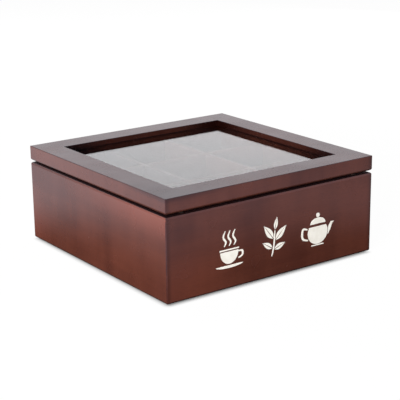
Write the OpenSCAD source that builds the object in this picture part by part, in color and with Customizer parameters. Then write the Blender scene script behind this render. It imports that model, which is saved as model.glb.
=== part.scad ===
// Square wooden tea box with nine compartments and a hinged, glazed lid.
// Millimetres. +Z is up, the front faces -Y, and the origin is the middle of the footprint on the table.

/* [Box] */
// Outer width and depth of the square box
box_w = 240; // [220:2:270]
// Height of the four walls
wall_h = 80; // [60:1:110]
// Thickness of the walls
wall_t = 10; // [9.5:0.5:13]
// Roundover along the bottom outer edge
bottom_round = 3; // [1:0.5:4]
// Roundover along the top outer edge
rim_round = 3; // [2:0.5:3]
// Easing of the four upright corners
corner_round = 1.2; // [0.4:0.2:2]
// Thickness of the bottom panel
panel_t = 3; // [2:0.5:5]
// Width of the rebate that the bottom panel sits in
panel_rebate = 5; // [3:0.5:6]

/* [Dividers] */
// Thickness of the divider boards
divider_t = 4; // [3:0.5:6]
// How far the dividers stop below the rim
divider_drop = 1; // [0.5:0.5:10]

/* [Lid] */
// Thickness of the lid frame
lid_t = 15; // [13:0.5:18]
// Width of the rails of the lid frame
rail_w = 25; // [22:1:32]
// Open seam between the rim and the lid
lid_gap = 1.4; // [1.4:0.1:2.4]
// Roundover along the bottom outer edge of the lid
lid_round = 3; // [2:0.5:3]
// Depth of the glass below the top of the lid
glass_drop = 6; // [4:0.5:7]
// Thickness of the glass
glass_t = 2; // [2:0.5:3]
// Width of the rebate that the glass sits in
glass_rebate = 6; // [4:0.5:6]

/* [Hinges] */
// Length of each hinge
hinge_l = 28; // [24:1:40]
// Distance of each hinge from the middle of the back
hinge_x = 70; // [40:1:85]
// Thickness of the hinge leaves
leaf_t = 0.6; // [0.5:0.1:0.6]
// Radius of the hinge knuckles
knuckle_r = 1.9; // [1.7:0.1:1.9]
// Radius of the hinge pins
pin_r = 0.8; // [0.6:0.1:0.9]
// How far the pins lie inside the back face
pin_inset = 2; // [2:0.1:2.4]

/* [Small parts] */
// Thickness of the felt feet
foot_t = 1.2; // [0.8:0.2:3]
// Radius of the felt feet
foot_r = 6; // [4:0.5:8]
// Radius of the soft buttons that the lid closes on
bumper_r = 3; // [2:0.2:3]

/* [Hidden] */
$fn = 64;
eps = 1;                                   // overshoot of a cutter past the face it cuts
fit = 0.05;                                // clearance of a fastener or pin in its hole

half = box_w / 2;
rim_z = foot_t + wall_h;                   // top of the walls
lid_z = rim_z + lid_gap;                   // underside of the lid
lid_top = lid_z + lid_t;
floor_z = foot_t + panel_t;                // top of the bottom panel
glass_z = lid_top - glass_drop - glass_t;  // underside of the glass

cells = 3;                                 // compartments along each side
inner_w = box_w - 2 * wall_t;
cell_w = (inner_w - (cells - 1) * divider_t) / cells;
divider_at = (cell_w + divider_t) / 2;     // a divider's distance from the middle
divider_top = rim_z - divider_drop;
divider_play = 0.15;                       // gap between a divider's end and the wall
lap_play = 0.1;                            // gap on each side of a lap joint
divider_easing = 1;

top_easing = 0.6;                          // top outer edge of the lid
inner_easing = 0.6;                        // top inner edge of the walls
window_easing = 0.4;                       // top inner edge of the lid
panel_play = 0.2;
glass_play = 0.5;

tenon = [2.5, 7, 55];                      // loose tenon in a wall corner: thickness, width, height
tenon_at = 7.5;                            // its distance from the outer corner, along the mitre
lid_tenon = [10, 12, 3];                   // loose tenon in a lid corner: depth, width, thickness
lid_tenon_at = 15.5;

bead_h = 5.5;                              // height of the strips that hold the glass
bead_round = 2;
brad = [0.5, 12];                          // radius and length
brad_head = [0.9, 0.5];
brad_spacing = 60;
brad_drop = 2.8;                           // height of the brads below the glass

knuckles = 5;
segment = hinge_l / knuckles;
knuckle_play = 0.3;                        // end gap between two knuckles
knuckle_room = 0.3;                        // space around the knuckles
leaf_d = wall_t - pin_inset - 0.8;         // from the pin to the leaf's inner edge
leaf_edge = knuckle_r + knuckle_room;      // where the full-width plate stops
tongue_end = 1.1;                          // where the plate's tongues end inside the knuckles
screw_x = 0.34 * hinge_l;
screw_y = (leaf_d + leaf_edge) / 2;
screw_r = 1;
screw_l = 8;
screw_head_r = screw_r + 0.1 + leaf_t;     // 45 degree countersunk head
screw_tip = [0.2, 1.5];                    // end radius and length of the point
recess = [0.45, 2.2, 0.4];                 // cross recess: width, length, depth

foot_at = half - 18;
bumper_x = half - 20;
bumper_h = lid_gap - 0.15;

wood = [0.36, 0.17, 0.13];
dark_wood = [0.30, 0.14, 0.10];
brass = [0.72, 0.56, 0.28];
steel = [0.70, 0.70, 0.72];

// What is outside a quarter circle of radius r that rounds off the corner at the origin
module round_waste(r) {
    difference() {
        translate([-eps, -eps]) square(r + eps);
        translate([r, r]) circle(r);
    }
}

// A section drawn inwards from the outer face, run along the front side
module along_front(z) {
    translate([0, -half, z]) rotate([90, 0, 90]) linear_extrude(box_w + 2 * eps, center = true) children();
}

// Cuts both ends of a front board at 45 degrees and eases the upright corners
module mitred(easing) {
    difference() {
        intersection() {
            children();
            linear_extrude(lid_top + eps) polygon([[0, 0], [-half - 5, -half - 5], [half + 5, -half - 5]]);
        }
        for (side = [0, 1]) mirror([side, 0, 0])
            translate([-half, -half, -eps]) linear_extrude(lid_top + 2 * eps) round_waste(easing);
    }
}

// Turns what is drawn for the front to the front, right, back or left side
module on_side(i) {
    rotate([0, 0, 90 * i]) children();
}

module at_corner(i, along, z) {
    on_side(i) translate([-half, -half, z]) rotate([0, 0, 45]) translate([along, 0, 0]) children();
}

module wall_section() {
    difference() {
        square([wall_t, wall_h]);
        round_waste(bottom_round);
        translate([0, wall_h]) mirror([0, 1]) round_waste(rim_round);
        translate([wall_t, wall_h]) mirror([1, 0]) mirror([0, 1]) round_waste(inner_easing);
        translate([wall_t - panel_rebate, -eps]) square([panel_rebate + eps, panel_t + eps]);
    }
}

module corner_tenon(i, play = 0) {
    at_corner(i, tenon_at, foot_t + wall_h / 2)
        cube([tenon.x + 2 * play, tenon.y + 2 * play, tenon.z + 2 * play], center = true);
}

module wall() {
    difference() {
        mitred(corner_round) along_front(foot_t) wall_section();
        for (i = [0, 1]) corner_tenon(i, fit);
    }
}

module front_wall() {
    color(wood) wall();
}

module right_wall() {
    color(wood) on_side(1) wall();
}

module left_wall() {
    color(wood) on_side(3) wall();
}

module back_wall() {
    color(wood) difference() {
        on_side(2) wall();
        both_hinges() {
            knuckle_notch();
            screw_pilots();
        }
    }
}

module corner_tenons() {
    color(dark_wood) for (i = [0:3]) corner_tenon(i);
}

module bottom_panel() {
    w = inner_w + 2 * (panel_rebate - panel_play);
    color(dark_wood) translate([-w / 2, -w / 2, foot_t]) cube([w, w, panel_t]);
}

module felt_feet() {
    color("black") for (x = [-1, 1], y = [-1, 1])
        translate([x * foot_at, y * foot_at, 0]) cylinder(r = foot_r, h = foot_t);
}

// Divider along X, centred on the origin's Y, with its eased edge on top
module divider_board() {
    h = divider_top - floor_z;
    length = inner_w - 2 * divider_play;
    translate([0, 0, floor_z]) rotate([90, 0, 90]) linear_extrude(length, center = true)
        translate([-divider_t / 2, 0]) difference() {
            square([divider_t, h]);
            translate([0, h]) mirror([0, 1]) round_waste(divider_easing);
            translate([divider_t, h]) mirror([1, 0]) mirror([0, 1]) round_waste(divider_easing);
        }
}

// The slots of the lap joints, in the upper or the lower half of a divider
module lap_slots(upper) {
    slot_w = divider_t + 2 * lap_play;
    middle = (floor_z + divider_top) / 2;
    z0 = upper ? middle - lap_play : floor_z - eps;
    z1 = upper ? divider_top + eps : middle + lap_play;
    for (x = [-1, 1])
        translate([x * divider_at - slot_w / 2, -divider_t, z0]) cube([slot_w, 2 * divider_t, z1 - z0]);
}

module lengthways_divider(side) {
    color(dark_wood) translate([0, side * divider_at, 0]) difference() {
        divider_board();
        lap_slots(true);
    }
}

module crossways_divider(side) {
    color(dark_wood) rotate([0, 0, 90]) translate([0, -side * divider_at, 0]) difference() {
        divider_board();
        lap_slots(false);
    }
}

module front_divider() {
    lengthways_divider(-1);
}

module rear_divider() {
    lengthways_divider(1);
}

module left_divider() {
    crossways_divider(-1);
}

module right_divider() {
    crossways_divider(1);
}

// Soft buttons on the front rim, flat below and bevelled on top
module lid_bumpers() {
    bevel = 0.5;
    y = -half + (wall_t + rim_round - inner_easing) / 2;
    color("saddlebrown") for (side = [-1, 1]) translate([side * bumper_x, y, rim_z]) {
        cylinder(r = bumper_r, h = bumper_h - bevel);
        translate([0, 0, bumper_h - bevel]) cylinder(r1 = bumper_r, r2 = bumper_r - bevel, h = bevel);
    }
}

// Puts what is drawn about a pin's middle at one hinge, -1 for the left and 1 for the right
module at_hinge(side) {
    translate([side * hinge_x, half - pin_inset, rim_z + lid_gap / 2]) children();
}

module both_hinges() {
    for (side = [-1, 1]) at_hinge(side) children();
}

module x_rod(r, length) {
    rotate([0, 90, 0]) cylinder(r = r, h = length, center = true);
}

// Room for the knuckles, open to the back
module knuckle_notch() {
    length = hinge_l + 2 * knuckle_room;
    x_rod(leaf_edge, length);
    translate([-length / 2, 0, -leaf_edge]) cube([length, pin_inset + eps, 2 * leaf_edge]);
}

// Countersunk screw that points down, with the top of its head at the origin
module screw() {
    difference() {
        union() {
            translate([0, 0, -leaf_t]) cylinder(r1 = screw_head_r - leaf_t, r2 = screw_head_r, h = leaf_t);
            translate([0, 0, -screw_l]) {
                cylinder(r = screw_r, h = screw_l - leaf_t / 2);
                translate([0, 0, -screw_tip[1]]) cylinder(r1 = screw_tip[0], r2 = screw_r, h = screw_tip[1]);
            }
        }
        for (a = [0, 90]) rotate([0, 0, a])
            translate([-recess.y / 2, -recess.x / 2, -recess.z]) cube([recess.y, recess.x, recess.z + eps]);
    }
}

module screw_pilot() {
    deep = screw_l + screw_tip[1] + leaf_t;
    translate([0, 0, -deep]) cylinder(r = screw_r + fit, h = deep);
}

module countersink() {
    over = 0.1;
    top_r = screw_head_r + fit + over;
    h = leaf_t + 2 * over;
    translate([0, 0, -leaf_t - over]) cylinder(r1 = top_r - h, r2 = top_r, h = h);
}

// The two screw places of a hinge leaf, at the face that the screw heads lie in
module on_screws() {
    for (x = [-1, 1]) translate([x * screw_x, -screw_y, leaf_t - lid_gap / 2]) children();
}

module screw_pilots() {
    on_screws() screw_pilot();
}

// Leaf that lies on the rim, with its knuckles at the places named and a bore for the pin
module hinge_leaf(places, bore_r) {
    tongue = segment - knuckle_play;
    difference() {
        union() {
            translate([-hinge_l / 2, -leaf_d, -lid_gap / 2]) cube([hinge_l, leaf_d - leaf_edge, leaf_t]);
            for (i = places) translate([(i + 0.5) * segment - hinge_l / 2, 0, 0]) {
                x_rod(knuckle_r, tongue);
                translate([-tongue / 2, -leaf_edge - eps / 2, -lid_gap / 2])
                    cube([tongue, leaf_edge + eps / 2 - tongue_end, leaf_t]);
            }
        }
        x_rod(bore_r, hinge_l + eps);
        on_screws() countersink();
    }
}

module box_leaf(side) {
    color(brass) at_hinge(side) hinge_leaf([0:2:knuckles - 1], pin_r);
}

module lid_leaf(side) {
    color(brass) at_hinge(side) mirror([0, 0, 1]) hinge_leaf([1:2:knuckles - 1], pin_r + fit);
}

module hinge_pin(side) {
    color(steel) at_hinge(side) x_rod(pin_r, hinge_l);
}

module left_hinge_box_leaf() {
    box_leaf(-1);
}

module right_hinge_box_leaf() {
    box_leaf(1);
}

module left_hinge_lid_leaf() {
    lid_leaf(-1);
}

module right_hinge_lid_leaf() {
    lid_leaf(1);
}

module left_hinge_pin() {
    hinge_pin(-1);
}

module right_hinge_pin() {
    hinge_pin(1);
}

module box_hinge_screws() {
    color(brass) both_hinges() on_screws() screw();
}

module lid_hinge_screws() {
    color(brass) both_hinges() mirror([0, 0, 1]) on_screws() screw();
}

module rail_section() {
    difference() {
        square([rail_w, lid_t]);
        round_waste(lid_round);
        translate([0, lid_t]) mirror([0, 1]) round_waste(top_easing);
        translate([rail_w, lid_t]) mirror([1, 0]) mirror([0, 1]) round_waste(window_easing);
        translate([rail_w - glass_rebate, -eps]) square([glass_rebate + eps, lid_t - glass_drop + eps]);
    }
}

module lid_corner_tenon(i, play = 0) {
    at_corner(i, lid_tenon_at, lid_z + lid_t / 2)
        cube([lid_tenon.x + 2 * play, lid_tenon.y + 2 * play, lid_tenon.z + 2 * play], center = true);
}

// Brads through the front bead, with their heads at the window, or with play the holes for them
module side_brads(play = 0) {
    over = play > 0 ? eps : 0;
    for (i = [-1:1]) translate([i * brad_spacing, -half + rail_w, glass_z - brad_drop]) rotate([90, 0, 0]) {
        cylinder(r = brad[0] + play, h = brad[1] + play);
        translate([0, 0, -over]) cylinder(r = brad_head[0] + play, h = brad_head[1] + play + over);
    }
}

module rail() {
    difference() {
        mitred(top_easing) along_front(lid_z) rail_section();
        for (i = [0, 1]) lid_corner_tenon(i, fit);
        side_brads(fit);
    }
}

module lid_front_rail() {
    color(wood) rail();
}

module lid_right_rail() {
    color(wood) on_side(1) rail();
}

module lid_left_rail() {
    color(wood) on_side(3) rail();
}

module lid_back_rail() {
    color(wood) difference() {
        on_side(2) rail();
        both_hinges() {
            knuckle_notch();
            mirror([0, 0, 1]) screw_pilots();
        }
    }
}

module lid_tenons() {
    color(dark_wood) for (i = [0:3]) lid_corner_tenon(i);
}

module glass_pane() {
    w = box_w - 2 * (rail_w - glass_rebate + glass_play);
    color("lightblue", 0.4) translate([-w / 2, -w / 2, glass_z]) cube([w, w, glass_t]);
}

module bead_section() {
    translate([rail_w - glass_rebate, 0]) difference() {
        square([glass_rebate, bead_h]);
        translate([glass_rebate, 0]) mirror([1, 0]) round_waste(bead_round);
    }
}

module bead(i) {
    color(dark_wood) on_side(i) difference() {
        mitred(top_easing) along_front(glass_z - bead_h) bead_section();
        side_brads(fit);
    }
}

module front_bead() {
    bead(0);
}

module right_bead() {
    bead(1);
}

module back_bead() {
    bead(2);
}

module left_bead() {
    bead(3);
}

module bead_brads() {
    color(steel) for (i = [0:3]) on_side(i) side_brads();
}

front_wall();
right_wall();
back_wall();
left_wall();
corner_tenons();
bottom_panel();
felt_feet();
front_divider();
rear_divider();
left_divider();
right_divider();
lid_bumpers();
left_hinge_box_leaf();
right_hinge_box_leaf();
left_hinge_pin();
right_hinge_pin();
box_hinge_screws();
lid_front_rail();
lid_right_rail();
lid_back_rail();
lid_left_rail();
lid_tenons();
glass_pane();
front_bead();
right_bead();
back_bead();
left_bead();
bead_brads();
left_hinge_lid_leaf();
right_hinge_lid_leaf();
lid_hinge_screws();
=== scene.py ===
# Wooden tea box with a glazed lid: stained boards, glass, brass hinges and three printed ornaments.
import math

import bmesh
import bpy
from mathutils import Matrix, Vector


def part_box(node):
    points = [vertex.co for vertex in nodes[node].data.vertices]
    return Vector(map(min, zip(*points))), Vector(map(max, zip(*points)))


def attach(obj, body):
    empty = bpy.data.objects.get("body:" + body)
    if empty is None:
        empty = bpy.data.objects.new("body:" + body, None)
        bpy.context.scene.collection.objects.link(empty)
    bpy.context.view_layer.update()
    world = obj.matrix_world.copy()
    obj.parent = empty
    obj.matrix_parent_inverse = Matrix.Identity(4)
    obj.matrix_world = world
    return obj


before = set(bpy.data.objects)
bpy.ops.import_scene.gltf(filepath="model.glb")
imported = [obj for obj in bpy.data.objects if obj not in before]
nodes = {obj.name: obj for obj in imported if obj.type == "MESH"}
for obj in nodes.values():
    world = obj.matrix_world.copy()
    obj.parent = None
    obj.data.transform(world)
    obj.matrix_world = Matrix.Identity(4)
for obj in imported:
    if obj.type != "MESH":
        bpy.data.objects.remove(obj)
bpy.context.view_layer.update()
print("frame loaded:", len(nodes), "nodes")


# Node helpers

def addNode(tree, kind, inputs=None, **settings):
    node = tree.nodes.new(kind)
    for key, value in settings.items():
        setattr(node, key, value)
    for key, value in (inputs or {}).items():
        if isinstance(value, bpy.types.NodeSocket):
            tree.links.new(value, node.inputs[key])
        else:
            node.inputs[key].default_value = value
    return node


def newMaterial(name):
    material = bpy.data.materials.new(name)
    material.use_nodes = True
    tree = material.node_tree
    return material, tree, tree.nodes["Principled BSDF"]


def setShader(shader, values):
    for key, value in values.items():
        shader.inputs[key].default_value = value


def mathNode(tree, operation, a, b=0.0):
    return addNode(tree, "ShaderNodeMath", {0: a, 1: b}, operation=operation).outputs[0]


def noiseNode(tree, vector, scale, detail=3.0, roughness=0.5, distortion=0.0):
    values = {"Vector": vector, "Scale": scale, "Detail": detail, "Roughness": roughness, "Distortion": distortion}
    return addNode(tree, "ShaderNodeTexNoise", values).outputs["Fac"]


def remap(tree, value, fromLow, fromHigh, toLow=0.0, toHigh=1.0):
    values = {"Value": value, "From Min": fromLow, "From Max": fromHigh, "To Min": toLow, "To Max": toHigh}
    return addNode(tree, "ShaderNodeMapRange", values, interpolation_type="SMOOTHSTEP").outputs["Result"]


def mixColor(tree, factor, a, b, blend="MIX"):
    node = addNode(tree, "ShaderNodeMix", data_type="RGBA", blend_type=blend)
    for index, value in ((0, factor), (6, a), (7, b)):
        if isinstance(value, bpy.types.NodeSocket):
            tree.links.new(value, node.inputs[index])
        else:
            node.inputs[index].default_value = value
    return node.outputs[2]


def bump(tree, shader, height, distance, strength=1.0):
    values = {"Height": height, "Distance": distance, "Strength": strength}
    tree.links.new(addNode(tree, "ShaderNodeBump", values).outputs["Normal"], shader.inputs["Normal"])


def objectCoordinates(tree):
    return addNode(tree, "ShaderNodeTexCoord").outputs["Object"]


def stretched(tree, vector, grain, offset, along, across):
    # puts the grain along the first axis, then squeezes the space so that features run long
    turn = {"x": (0, 0, 0), "y": (0, 0, math.radians(-90)), "z": (0, math.radians(90), 0)}[grain]
    turned = addNode(tree, "ShaderNodeMapping", {"Vector": vector, "Rotation": turn, "Location": offset})
    scaled = addNode(tree, "ShaderNodeMapping", {"Vector": turned.outputs["Vector"], "Scale": (along, across, across)})
    return scaled.outputs["Vector"]


def easedEdges(tree):
    # 0 on the flat faces and up to 1 in the middle of a rounded edge, in the object's own space
    normal = addNode(tree, "ShaderNodeTexCoord").outputs["Normal"]
    parts = addNode(tree, "ShaderNodeSeparateXYZ", {0: normal}).outputs
    sizes = [mathNode(tree, "ABSOLUTE", part) for part in parts]
    largest = mathNode(tree, "MAXIMUM", mathNode(tree, "MAXIMUM", sizes[0], sizes[1]), sizes[2])
    return remap(tree, largest, 0.995, 0.88)


def mitreLine(tree, vector):
    # 1 within a hair of the planes where two boards meet at 45 degrees
    parts = addNode(tree, "ShaderNodeSeparateXYZ", {0: vector}).outputs
    apart = mathNode(tree, "SUBTRACT", mathNode(tree, "ABSOLUTE", parts[0]), mathNode(tree, "ABSOLUTE", parts[1]))
    return remap(tree, mathNode(tree, "ABSOLUTE", apart), 0.00022, 0.00008)


# Stained boards

boardFinish = {
    "deep": (0.056, 0.0141, 0.0080, 1),      # stain in the dense grain
    "light": (0.104, 0.0283, 0.0160, 1),     # stain in the open grain
    # painted light: the colour of patches where the lamps light a board more
    "pale": (0.168, 0.044, 0.026, 1),
    "pore": (0.028, 0.006, 0.004, 1),
    "edge": (0.016, 0.004, 0.003, 1),        # darker along the eased edges: pooled stain and painted shade
    "edgeShare": 0.8,
    "inner": (0.010, 0.0022, 0.0016, 1),     # painted shade inside the glazed opening and in the seam under the lid
    "grain": (0.16, 0.08, 0.56, 0.20),       # shares of figure, fibre, blotches and ripple in the tone
    "tones": (0.30, 0.70),
    "blotches": 13.0,                        # per metre
    "roughness": 0.25,
    "rimMatt": 0.5,                          # added to the roughness on top of the walls, which got less lacquer
    "gloss": 0.5,
    "glossTint": (0.80, 0.76, 0.95, 1),      # the lacquer shines a little blue
}


def windowPaintedShade(tree, vector):
    # painted shade on the inner faces of the window, deepest in its corners and in a line along the glass
    parts = addNode(tree, "ShaderNodeSeparateXYZ", {0: vector}).outputs
    x, y = (mathNode(tree, "ABSOLUTE", part) for part in parts[:2])
    inward = remap(tree, mathNode(tree, "MAXIMUM", x, y), 0.0956, 0.0950)
    corner = remap(tree, mathNode(tree, "MINIMUM", x, y), 0.035, 0.088, 0.70, 1.0)
    fromGlass = mathNode(tree, "ABSOLUTE", mathNode(tree, "SUBTRACT", parts[2], 0.0914))
    line = remap(tree, fromGlass, 0.0017, 0.0010)
    return mathNode(tree, "MULTIPLY", inward, mathNode(tree, "MAXIMUM", corner, line))


def fromSeam(tree, vector):
    # height above or below the middle of the seam between box and lid
    height = addNode(tree, "ShaderNodeSeparateXYZ", {0: vector}).outputs[2]
    return mathNode(tree, "ABSOLUTE", mathNode(tree, "SUBTRACT", height, 0.0819))


def seamPaintedShade(tree, vector):
    # painted shadow where the rim faces the lid, fading towards the inside
    x, y = (mathNode(tree, "ABSOLUTE", part) for part in addNode(tree, "ShaderNodeSeparateXYZ", {0: vector}).outputs[:2])
    outward = remap(tree, mathNode(tree, "MAXIMUM", x, y), 0.1090, 0.1128)
    return mathNode(tree, "MULTIPLY", remap(tree, fromSeam(tree, vector), 0.00160, 0.00135), outward)


def cornerShadeBand(tree, vector):
    # painted shade on the front and the back within a few millimetres of the upright corners
    parts = addNode(tree, "ShaderNodeSeparateXYZ", {0: vector}).outputs
    x, y = (mathNode(tree, "ABSOLUTE", part) for part in parts[:2])
    return mathNode(tree, "MULTIPLY", remap(tree, x, 0.1135, 0.1190, 0.0, 0.6), remap(tree, y, 0.1165, 0.1185))


lightAndShadeSpots = (         # patches of painted light and shade: lighter where the lamps light a board more, darker where they light it less, and how far each reaches along the board and up
    {"board": "left_wall", "paintedTone": "pale", "center": (-0.12, -0.12, 0.083), "reach": (0.20, 0.03), "share": 0.85},
    {"board": "left_wall", "paintedTone": "pale", "center": (-0.12, 0.125, 0.020), "reach": (0.06, 0.05), "share": 0.45},
    {"board": "front_wall", "paintedTone": "pale", "center": (-0.1, -0.12, 0.015), "reach": (0.07, 0.05), "share": 0.35},
    {"board": "front_wall", "paintedTone": "pale", "center": (0.118, -0.12, 0.052), "reach": (0.05, 0.04), "share": 0.3},
    {"board": "lid_front_rail", "paintedTone": "pore", "center": (-0.12, -0.12, 0.0976), "reach": (0.1, 0.006), "share": 0.8},
    {"board": "lid_left_rail", "paintedTone": "pore", "center": (-0.12, -0.12, 0.0976), "reach": (0.1, 0.006), "share": 0.8},
)


def lightAndShadeSpot(tree, vector, spot):
    along, up = spot["reach"]
    away = addNode(tree, "ShaderNodeVectorMath", {0: vector, 1: spot["center"]}, operation="SUBTRACT").outputs["Vector"]
    scaled = addNode(tree, "ShaderNodeVectorMath", {0: away, 1: (1 / along, 1 / along, 1 / up)}, operation="MULTIPLY")
    length = addNode(tree, "ShaderNodeVectorMath", {0: scaled.outputs["Vector"]}, operation="LENGTH").outputs["Value"]
    return mathNode(tree, "MULTIPLY", remap(tree, length, 1.0, 0.1), spot["share"])


def stainedBoard(name, grain, seed, finish=boardFinish, shade=seamPaintedShade):
    material, tree, shader = newMaterial(name)
    place = objectCoordinates(tree)
    offset = (0.37 * seed, 0.113 * seed, 0.071 * seed)

    figure = noiseNode(tree, stretched(tree, place, grain, offset, 6, 95), 1.0, 4, 0.55, 0.6)
    fibre = noiseNode(tree, stretched(tree, place, grain, offset, 45, 1500), 1.0, 3, 0.6)
    moved = addNode(tree, "ShaderNodeMapping", {"Vector": place, "Location": offset}).outputs["Vector"]
    blotch = noiseNode(tree, moved, finish["blotches"], 2, 0.5)
    ripple = noiseNode(tree, stretched(tree, place, grain, offset, 70, 7), 1.0, 2, 0.5)
    poreField = noiseNode(tree, stretched(tree, place, grain, offset, 190, 2600), 1.0, 1, 0.4)
    pore = remap(tree, poreField, 0.62, 0.74)

    tone = 0.0
    for part, share in zip((figure, fibre, blotch, ripple), finish["grain"]):
        tone = addNode(tree, "ShaderNodeMath", {0: part, 1: share, 2: tone}, operation="MULTIPLY_ADD").outputs[0]
    color = mixColor(tree, remap(tree, tone, *finish["tones"]), finish["deep"], finish["light"])
    # patches of painted light and shade
    for spot in lightAndShadeSpots:
        if name == "stained_" + spot["board"]:
            color = mixColor(tree, lightAndShadeSpot(tree, place, spot), color, finish[spot["paintedTone"]])
    color = mixColor(tree, mathNode(tree, "MULTIPLY", pore, 0.30), color, finish["pore"])

    # darker along the eased edges and beside the upright corners: pooled stain and painted shade
    uneven = remap(tree, noiseNode(tree, place, 120.0, 4, 0.65), 0.30, 0.60, 0.5, 1.0)
    edge = mathNode(tree, "MULTIPLY", easedEdges(tree), uneven)
    seam = fromSeam(tree, place)
    # on the lid the painted shade along the edges runs down to the seam; on the walls it stops short of it
    alongSeam = 1.0 if shade is windowPaintedShade else 0.0
    edge = mathNode(tree, "MULTIPLY", edge, remap(tree, seam, 0.0040, 0.0060, alongSeam))
    if grain == "x":
        edge = mathNode(tree, "MAXIMUM", edge, cornerShadeBand(tree, place))
    color = mixColor(tree, mathNode(tree, "MULTIPLY", edge, finish["edgeShare"]), color, finish["edge"])
    color = mixColor(tree, mathNode(tree, "MULTIPLY", mitreLine(tree, place), 0.55), color, finish["pore"])
    # painted shade: in the window on the lid's boards, along the seam on the walls
    color = mixColor(tree, shade(tree, place), color, finish["inner"])
    tree.links.new(color, shader.inputs["Base Color"])

    sheen = noiseNode(tree, place, 34.0, 3, 0.55)
    roughness = remap(tree, sheen, 0.3, 0.7, finish["roughness"] - 0.03, finish["roughness"] + 0.03)
    if shade is seamPaintedShade:
        flatRim = mathNode(tree, "MULTIPLY", remap(tree, seam, 0.0010, 0.0008), finish["rimMatt"])
        roughness = mathNode(tree, "ADD", roughness, flatRim)
    tree.links.new(roughness, shader.inputs["Roughness"])
    setShader(shader, {"Specular IOR Level": finish["gloss"], "Specular Tint": finish["glossTint"], "IOR": 1.5})

    orangePeel = noiseNode(tree, place, 650.0, 2, 0.5)
    depth = mathNode(tree, "SUBTRACT", mathNode(tree, "MULTIPLY", fibre, 0.35), mathNode(tree, "MULTIPLY", pore, 0.65))
    depth = mathNode(tree, "ADD", depth, mathNode(tree, "MULTIPLY", orangePeel, 0.5))
    bump(tree, shader, depth, 0.00003, 0.55)
    return material


insideFinish = {
    "deep": (0.070, 0.016, 0.009, 1),
    "light": (0.120, 0.034, 0.020, 1),
    "pore": (0.028, 0.008, 0.006, 1),
    "edge": (0.034, 0.009, 0.006, 1),
    "edgeShare": 0.8,
    "grain": (0.42, 0.20, 0.24, 0.14),
    "tones": (0.30, 0.72),
    "blotches": 20.0,
    "roughness": 0.45,
    # painted shade, as on the walls
    "inner": (0.016, 0.0035, 0.0025, 1),
    "rimMatt": 0.3,
    "gloss": 0.3,
    "glossTint": (1, 1, 1, 1),
}

dullFinish = {**insideFinish, "gloss": 0.1, "roughness": 0.6}     # the two dividers that run from side to side


def plainBoard():
    # bare hardwood of the hidden tenons
    material, tree, shader = newMaterial("bareHardwood")
    place = objectCoordinates(tree)
    fibre = noiseNode(tree, stretched(tree, place, "z", (0, 0, 0), 30, 900), 1.0, 3, 0.6)
    color = mixColor(tree, remap(tree, fibre, 0.35, 0.65), (0.42, 0.27, 0.15, 1), (0.60, 0.42, 0.26, 1))
    tree.links.new(color, shader.inputs["Base Color"])
    setShader(shader, {"Roughness": 0.7})
    bump(tree, shader, fibre, 0.00005, 0.6)
    return material


# Glass, metal, felt and rubber

def clearGlass():
    material, tree, shader = newMaterial("clearGlass")
    place = objectCoordinates(tree)
    film = noiseNode(tree, place, 22.0, 2, 0.5, 0.4)
    tree.links.new(remap(tree, film, 0.45, 0.8, 0.0, 0.02), shader.inputs["Roughness"])
    tint = noiseNode(tree, place, 6.0, 1)
    color = mixColor(tree, tint, (0.955, 0.975, 0.965, 1), (0.965, 0.980, 0.970, 1))
    tree.links.new(color, shader.inputs["Base Color"])
    setShader(shader, {"Transmission Weight": 1.0, "IOR": 1.56, "Specular Tint": (0.97, 1, 0.975, 1)})
    # lamps shine through, so that the compartments are lit as they are under real glass
    clear = addNode(tree, "ShaderNodeBsdfTransparent", {"Color": (0.90, 0.93, 0.91, 1)})
    lampRay = addNode(tree, "ShaderNodeLightPath").outputs["Is Shadow Ray"]
    mix = addNode(tree, "ShaderNodeMixShader", {0: lampRay, 1: shader.outputs[0], 2: clear.outputs[0]})
    tree.links.new(mix.outputs[0], tree.nodes["Material Output"].inputs["Surface"])
    return material


def brushedMetal(name, bright, dull, roughness, strokes=1800.0):
    material, tree, shader = newMaterial(name)
    place = objectCoordinates(tree)
    brush = noiseNode(tree, stretched(tree, place, "x", (0, 0, 0), 60, strokes), 1.0, 3, 0.6)
    patina = noiseNode(tree, place, 240.0, 4, 0.6)
    color = mixColor(tree, remap(tree, patina, 0.38, 0.68), bright, dull)
    tree.links.new(color, shader.inputs["Base Color"])
    tree.links.new(remap(tree, brush, 0.3, 0.7, roughness - 0.07, roughness + 0.09), shader.inputs["Roughness"])
    setShader(shader, {"Metallic": 1.0})
    bump(tree, shader, brush, 0.00002, 0.5)
    return material


def pressedFelt():
    material, tree, shader = newMaterial("pressedFelt")
    place = objectCoordinates(tree)
    fibres = noiseNode(tree, place, 2600.0, 4, 0.75, 1.2)
    clumps = noiseNode(tree, place, 420.0, 3, 0.6)
    color = mixColor(tree, remap(tree, fibres, 0.3, 0.7), (0.012, 0.010, 0.009, 1), (0.055, 0.048, 0.043, 1))
    color = mixColor(tree, mathNode(tree, "MULTIPLY", clumps, 0.4), color, (0.030, 0.025, 0.022, 1))
    tree.links.new(color, shader.inputs["Base Color"])
    setShader(shader, {"Roughness": 0.95, "Specular IOR Level": 0.15, "Sheen Weight": 0.5, "Sheen Roughness": 0.5})
    bump(tree, shader, fibres, 0.00018, 0.9)
    return material


def brownRubber():
    material, tree, shader = newMaterial("brownRubber")
    place = objectCoordinates(tree)
    cloud = noiseNode(tree, place, 300.0, 2, 0.5)
    dust = remap(tree, noiseNode(tree, place, 900.0, 4, 0.7), 0.55, 0.8)
    color = mixColor(tree, cloud, (0.008, 0.006, 0.005, 1), (0.014, 0.010, 0.008, 1))
    color = mixColor(tree, mathNode(tree, "MULTIPLY", dust, 0.15), color, (0.05, 0.04, 0.035, 1))
    tree.links.new(color, shader.inputs["Base Color"])
    tree.links.new(remap(tree, cloud, 0.3, 0.7, 0.66, 0.80), shader.inputs["Roughness"])
    setShader(shader, {"Specular IOR Level": 0.2})
    bump(tree, shader, noiseNode(tree, place, 1500.0, 2), 0.00002, 0.4)
    return material


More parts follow.
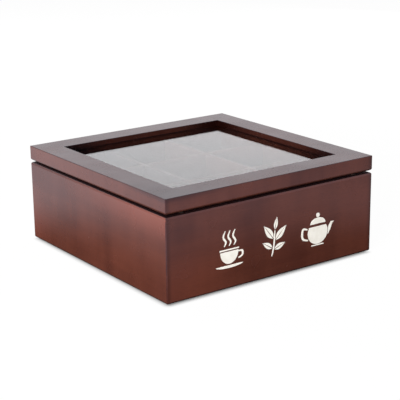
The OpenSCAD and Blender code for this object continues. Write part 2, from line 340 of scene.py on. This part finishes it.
def creamPrint():
    # opaque screen ink that has sunk a little into the grain
    material, tree, shader = newMaterial("creamPrint")
    place = objectCoordinates(tree)
    grain = noiseNode(tree, stretched(tree, place, "x", (0, 0, 0), 60, 1400), 1.0, 3, 0.6)
    mottle = noiseNode(tree, place, 160.0, 3, 0.55)
    color = mixColor(tree, remap(tree, mottle, 0.3, 0.7), (0.86, 0.82, 0.74, 1), (0.93, 0.90, 0.83, 1))
    thin = mathNode(tree, "MULTIPLY", remap(tree, grain, 0.62, 0.80), 0.25)
    color = mixColor(tree, thin, color, (0.62, 0.52, 0.44, 1))
    tree.links.new(color, shader.inputs["Base Color"])
    tree.links.new(remap(tree, mottle, 0.3, 0.7, 0.38, 0.52), shader.inputs["Roughness"])
    bump(tree, shader, grain, 0.00003, 0.5)
    return material


def dressNodes():
    walls = {"front_wall": "x", "back_wall": "x", "left_wall": "y", "right_wall": "y"}
    lidBoards = {
        "lid_front_rail": "x", "lid_back_rail": "x", "lid_left_rail": "y", "lid_right_rail": "y",
        "front_bead": "x", "back_bead": "x", "left_bead": "y", "right_bead": "y",
    }
    inside = {"front_divider": "x", "rear_divider": "x", "left_divider": "y", "right_divider": "y", "bottom_panel": "x"}
    finishes = {}
    for seed, (name, grain) in enumerate(walls.items(), 13):
        finishes[name] = stainedBoard("stained_" + name, grain, seed)
    for seed, (name, grain) in enumerate(lidBoards.items(), 17):
        finishes[name] = stainedBoard("stained_" + name, grain, seed, shade=windowPaintedShade)
    for seed, (name, grain) in enumerate(inside.items(), 31):
        finish = dullFinish if name in ("front_divider", "rear_divider") else insideFinish
        finishes[name] = stainedBoard("inside_" + name, grain, seed, finish)
    brass = brushedMetal("brushedBrass", (0.78, 0.57, 0.24, 1), (0.60, 0.42, 0.17, 1), 0.30)
    steel = brushedMetal("drawnSteel", (0.62, 0.61, 0.59, 1), (0.48, 0.47, 0.46, 1), 0.28)
    blackened = brushedMetal("blackenedSteel", (0.065, 0.058, 0.052, 1), (0.038, 0.034, 0.030, 1), 0.42)
    for side in ("left", "right"):
        finishes[side + "_hinge_box_leaf"] = brass
        finishes[side + "_hinge_lid_leaf"] = brass
        finishes[side + "_hinge_pin"] = steel
    hardwood = plainBoard()
    finishes.update({
        "box_hinge_screws": brass, "lid_hinge_screws": brass, "bead_brads": blackened, "glass_pane": clearGlass(),
        "corner_tenons": hardwood, "lid_tenons": hardwood, "felt_feet": pressedFelt(), "lid_bumpers": brownRubber(),
    })
    for name, node in nodes.items():
        node.material_slots[0].material = finishes[name]


dressNodes()
print("CAD nodes dressed")


# Ornaments printed on the front, drawn in millimetres from the middle of their base line

def smoothPath(points, steps=10):
    # a Catmull-Rom curve through the points
    path = []
    ends = [points[0]] + list(points) + [points[-1]]
    for i in range(1, len(ends) - 2):
        p0, p1, p2, p3 = (Vector(p) for p in ends[i - 1:i + 3])
        for k in range(steps):
            t = k / steps
            path.append(0.5 * (2 * p1 + (p2 - p0) * t + (2 * p0 - 5 * p1 + 4 * p2 - p3) * t * t
                               + (3 * p1 - 3 * p2 + p3 - p0) * t ** 3))
    path.append(Vector(points[-1]))
    return path


def stroke(points, thin, thick, steps=10):
    # a pen stroke, thick in the middle and thin at its ends
    path = smoothPath(points, steps)
    left, right = [], []
    for i, point in enumerate(path):
        run = path[min(i + 1, len(path) - 1)] - path[max(i - 1, 0)]
        across = Vector((-run.y, run.x)).normalized()
        width = thin + (thick - thin) * math.sin(math.pi * i / (len(path) - 1))
        left.append(point + across * width / 2)
        right.append(point - across * width / 2)
    return left + right[::-1]


def leafHalves(base, tip, belly, vein):
    # two halves of a leaf on either side of an open vein, which closes towards the tip
    base, tip = Vector(base), Vector(tip)
    along = tip - base
    across = Vector((-along.y, along.x)).normalized()
    halves = []
    for side in (-1, 1):
        outer, inner = [], []
        for k in range(15):
            t = k / 14
            bulge = belly * math.sin(math.pi * t ** 0.85) * (1 - 0.25 * t)
            middle = base + along * t
            gap = vein / 2 * (1 - 0.7 * t)
            outer.append(middle + across * side * max(bulge, gap + 0.02))
            inner.append(middle + across * side * gap)
        halves.append(outer + inner[::-1])
    return halves


def arc(center, radiusX, radiusY, start, end, steps=24):
    points = []
    for k in range(steps + 1):
        angle = math.radians(start + (end - start) * k / steps)
        points.append(Vector((center[0] + radiusX * math.cos(angle), center[1] + radiusY * math.sin(angle))))
    return points


def cupOrnament():
    shapes = [
        arc((0, 15.5), 10.2, 11.6, 180, 360),                                     # bowl
        [Vector(p) for p in ((-10.8, 16.6), (10.8, 16.6), (10.8, 17.9), (-10.8, 17.9))],  # rim
        arc((0, 2.6), 15.2, 2.6, 180, 360),                                       # saucer
        stroke(((10.3, 14.0), (14.4, 13.6), (14.6, 9.6), (10.2, 7.4)), 1.1, 2.0),  # handle
    ]
    for x in (-5.4, 0, 5.4):                                                      # steam
        shapes.append(stroke(((x - 0.4, 20.6), (x + 1.5, 24.6), (x - 1.3, 29.6), (x + 0.9, 35.2)), 0.6, 1.9))
    return shapes


def sprigOrnament():
    shapes = [stroke(((-3.4, 0.3), (-1.4, 8.0), (-0.4, 16.0), (0.2, 24.6)), 0.9, 1.7)]
    leaves = [
        ((0.3, 25.6), (2.6, 37.2), 2.4),
        ((-1.7, 17.4), (-12.6, 31.0), 3.9),
        ((1.2, 15.6), (13.4, 27.4), 3.9),
        ((-2.8, 8.2), (-14.2, 15.2), 3.1),
        ((-0.2, 6.8), (12.4, 11.2), 3.1),
    ]
    for base, tip, belly in leaves:
        shapes += leafHalves(base, tip, belly, 0.8)
    return shapes


def potOrnament():
    body = arc((0, 12.6), 12.2, 11.4, 148, 392)
    return [
        body,
        arc((0, 21.2), 9.4, 6.0, 0, 180),                                         # lid
        arc((0, 29.6), 2.2, 2.2, 0, 360)[:-1],                                    # knob
        [Vector(p) for p in ((-8.0, -0.2), (8.0, -0.2), (7.0, 0.9), (-7.0, 0.9))],  # foot
        stroke(((-12.6, 17.4), (-18.2, 18.2), (-18.4, 9.6), (-11.6, 6.6)), 1.2, 2.3),  # handle
        [Vector(p) for p in ((12.6, 8.2), (15.6, 12.6), (18.0, 18.4), (20.2, 20.0), (16.2, 20.6),
                             (14.0, 17.6), (12.9, 14.6))],                        # spout
    ]


printPlace = {
    "spacing": 0.052,     # from one ornament to the next
    "base": 0.0215,       # height of the base line
    "raised": 0.00012,    # thickness of the ink
}


def printOrnament(name, shapes, middleX, material):
    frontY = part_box("front_wall")[0].y
    mesh = bpy.data.meshes.new(name)
    bm = bmesh.new()
    for outline in shapes:
        places = [(middleX + p.x / 1000, printPlace["base"] + p.y / 1000) for p in outline]
        back = [bm.verts.new((x, frontY, z)) for x, z in places]
        front = [bm.verts.new((x, frontY - printPlace["raised"], z)) for x, z in places]
        bm.faces.new(front)
        bm.faces.new(back[::-1])
        for i in range(len(places)):
            j = (i + 1) % len(places)
            bm.faces.new((front[i], back[i], back[j], front[j]))
    bmesh.ops.recalc_face_normals(bm, faces=bm.faces)
    bm.to_mesh(mesh)
    bm.free()
    piece = bpy.data.objects.new(name, mesh)
    bpy.context.scene.collection.objects.link(piece)
    mesh.materials.append(material)
    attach(piece, "box")
    return piece


ink = creamPrint()
printOrnament("cup_ornament", cupOrnament(), -printPlace["spacing"], ink)
printOrnament("sprig_ornament", sprigOrnament(), 0.0, ink)
printOrnament("pot_ornament", potOrnament(), printPlace["spacing"], ink)
print("ornaments printed")


# Studio: pale floor, soft lamps and a white surround

studio = {
    "ambient": 0.13,              # light of the surround on matt surfaces
    "floorColor": 0.55,
    "floorShown": 0.06,           # share of the floor's own shading that the camera sees
    "floorWhite": 0.97,
    "contactReach": 0.0045,       # how far the dark line under the box spreads
    "contactFade": 0.62,          # below 1 the line is darkest close to the box
    "litSide": (-0.114, -0.122),      # the key lamp reaches under the box's left side,
    "litShare": 0.4,                  # and lifts the dark line there by this share
    "floorRadius": 9.0,
    "patchPlace": (0.04, 0.015, 0),   # the shaded floor around the box, as its boards mirror it
    "patchReach": (0.185, 0.36),
    "patchLight": (0.06, 1.0),
    "patchLean": -1.3,                # per metre of x: the floor mirrors brighter on the lit side
    "patchTint": (1.0, 0.99, 1.03, 1),
    "mirrorTint": (1.0, 0.99, 1.03, 1),
    "secondMirror": 0.12,             # share of the surround that a mirror image in another mirror shows
}

lamps = {
    "keyLamp": {"place": (-1.43, -0.87, 0.34), "aim": (0.05, 0.02, 0.12), "size": (0.9, 0.45), "power": 4.9, "spread": 50},
    "rearLamp": {"place": (1.02, 1.42, 0.60), "aim": (0, 0, 0.09), "size": (1.3, 0.6), "power": 0.30, "spread": 180},
    "rightLamp": {"place": (1.5, 0.6, 0.30), "aim": (0, 0, 0.05), "size": (1.0, 0.45), "power": 14.0, "spread": 180},
    "backLamp": {"place": (-0.4, 1.6, 0.30), "aim": (0, 0, 0.05), "size": (1.2, 0.45), "power": 14.0, "spread": 180},
}
mirroredLamps = ("rearLamp",)     # the only ones that glass and lacquer show


def shownRays(tree, names):
    # 1 for the rays named, such as those straight from the camera, in a reflection or through glass
    path = addNode(tree, "ShaderNodeLightPath").outputs
    found = path[names[0]]
    for name in names[1:]:
        found = mathNode(tree, "MAXIMUM", found, path[name])
    return found


def buildWorld():
    world = bpy.data.worlds.new("surround")
    world.use_nodes = True
    bpy.context.scene.world = world
    tree = world.node_tree
    background = tree.nodes["Background"]
    tint = mixColor(tree, shownRays(tree, ("Is Glossy Ray",)), (1, 1, 1, 1), studio["mirrorTint"])
    tree.links.new(tint, background.inputs["Color"])
    seen = shownRays(tree, ("Is Camera Ray", "Is Glossy Ray", "Is Transmission Ray"))
    strength = addNode(tree, "ShaderNodeMapRange", {"Value": seen, "To Min": studio["ambient"], "To Max": 1.0})
    bounces = addNode(tree, "ShaderNodeLightPath").outputs["Glossy Depth"]
    share = remap(tree, bounces, 1.0, 2.0, 1.0, studio["secondMirror"])
    strength = mathNode(tree, "MULTIPLY", strength.outputs["Result"], share)
    tree.links.new(strength, background.inputs["Strength"])


def buildFloor():
    material = bpy.data.materials.new("paleFloor")
    material.use_nodes = True
    tree = material.node_tree
    tree.nodes.clear()
    offset = addNode(tree, "ShaderNodeVectorMath", {0: objectCoordinates(tree), 1: studio["patchPlace"]},
                     operation="SUBTRACT").outputs["Vector"]
    away = addNode(tree, "ShaderNodeVectorMath", {0: offset}, operation="LENGTH").outputs["Value"]
    mirrored = remap(tree, away, *studio["patchReach"], *studio["patchLight"])
    sideways = addNode(tree, "ShaderNodeSeparateXYZ", {0: objectCoordinates(tree)}).outputs[0]
    lean = addNode(tree, "ShaderNodeMapRange", {"Value": sideways, "From Min": -0.4, "From Max": 0.4,
                   "To Min": 1 - 0.4 * studio["patchLean"], "To Max": 1 + 0.4 * studio["patchLean"]}).outputs[0]
    mirrored = mathNode(tree, "MULTIPLY", mirrored, lean)
    grey, seen = studio["floorColor"], studio["floorShown"]
    matt = addNode(tree, "ShaderNodeBsdfDiffuse", {"Color": (grey, grey, grey, 1)})
    reflected = addNode(tree, "ShaderNodeEmission", {"Color": studio["patchTint"], "Strength": mirrored})
    shown = addNode(tree, "ShaderNodeBsdfDiffuse", {"Color": (seen, seen, seen, 1)})
    contact = addNode(tree, "ShaderNodeAmbientOcclusion", {"Distance": studio["contactReach"]}, samples=8).outputs["AO"]
    contact = mathNode(tree, "POWER", contact, studio["contactFade"])
    litSide = remap(tree, sideways, *studio["litSide"], 0.0, studio["litShare"])
    contact = addNode(tree, "ShaderNodeMath", {0: mathNode(tree, "SUBTRACT", 1.0, contact), 1: litSide, 2: contact},
                      operation="MULTIPLY_ADD").outputs[0]
    base = addNode(tree, "ShaderNodeEmission", {"Strength": mathNode(tree, "MULTIPLY", contact, studio["floorWhite"])})
    bright = addNode(tree, "ShaderNodeAddShader", {0: shown.outputs[0], 1: base.outputs[0]})
    glossy = shownRays(tree, ("Is Glossy Ray",))
    mix = addNode(tree, "ShaderNodeMixShader", {0: glossy, 1: matt.outputs[0], 2: reflected.outputs[0]})
    straight = shownRays(tree, ("Is Camera Ray", "Is Transmission Ray"))
    mix = addNode(tree, "ShaderNodeMixShader", {0: straight, 1: mix.outputs[0], 2: bright.outputs[0]})
    addNode(tree, "ShaderNodeOutputMaterial", {"Surface": mix.outputs[0]})
    mesh = bpy.data.meshes.new("floor")
    bm = bmesh.new()
    bmesh.ops.create_circle(bm, cap_ends=True, segments=96, radius=studio["floorRadius"])
    bm.to_mesh(mesh)
    bm.free()
    floor = bpy.data.objects.new("floor", mesh)
    bpy.context.scene.collection.objects.link(floor)
    mesh.materials.append(material)


def buildLamps():
    for name, lamp in lamps.items():
        light = bpy.data.lights.new(name, "AREA")
        light.shape = "RECTANGLE"
        light.size, light.size_y = lamp["size"]
        light.energy = lamp["power"]
        light.spread = math.radians(lamp["spread"])
        holder = bpy.data.objects.new(name, light)
        bpy.context.scene.collection.objects.link(holder)
        holder.location = lamp["place"]
        toward = Vector(lamp["aim"]) - Vector(lamp["place"])
        holder.rotation_euler = toward.to_track_quat("-Z", "Y").to_euler()
        holder.visible_camera = False
        holder.visible_glossy = name in mirroredLamps
        holder.visible_transmission = name in mirroredLamps


view = {
    "azimuth": -35.62,        # degrees, 0 looks along +Y
    "elevation": 16.58,
    "roll": -0.69,
    "place": (-0.6686, -0.9366, 0.3896),
    "lens": 109.15,           # on the default 36 mm wide sensor
}


def buildCamera():
    data = bpy.data.cameras.new("camera")
    data.lens = view["lens"]
    data.sensor_width = 36
    data.clip_end = 50
    camera = bpy.data.objects.new("camera", data)
    bpy.context.scene.collection.objects.link(camera)
    turn = Matrix.Rotation(math.radians(view["azimuth"]), 4, "Z")
    tilt = Matrix.Rotation(math.radians(90 - view["elevation"]), 4, "X")
    roll = Matrix.Rotation(math.radians(view["roll"]), 4, "Z")
    camera.matrix_world = Matrix.Translation(view["place"]) @ turn @ tilt @ roll
    bpy.context.scene.camera = camera


buildWorld()
buildFloor()
buildLamps()
buildCamera()
bpy.context.scene.view_settings.view_transform = "Standard"
print("studio built")
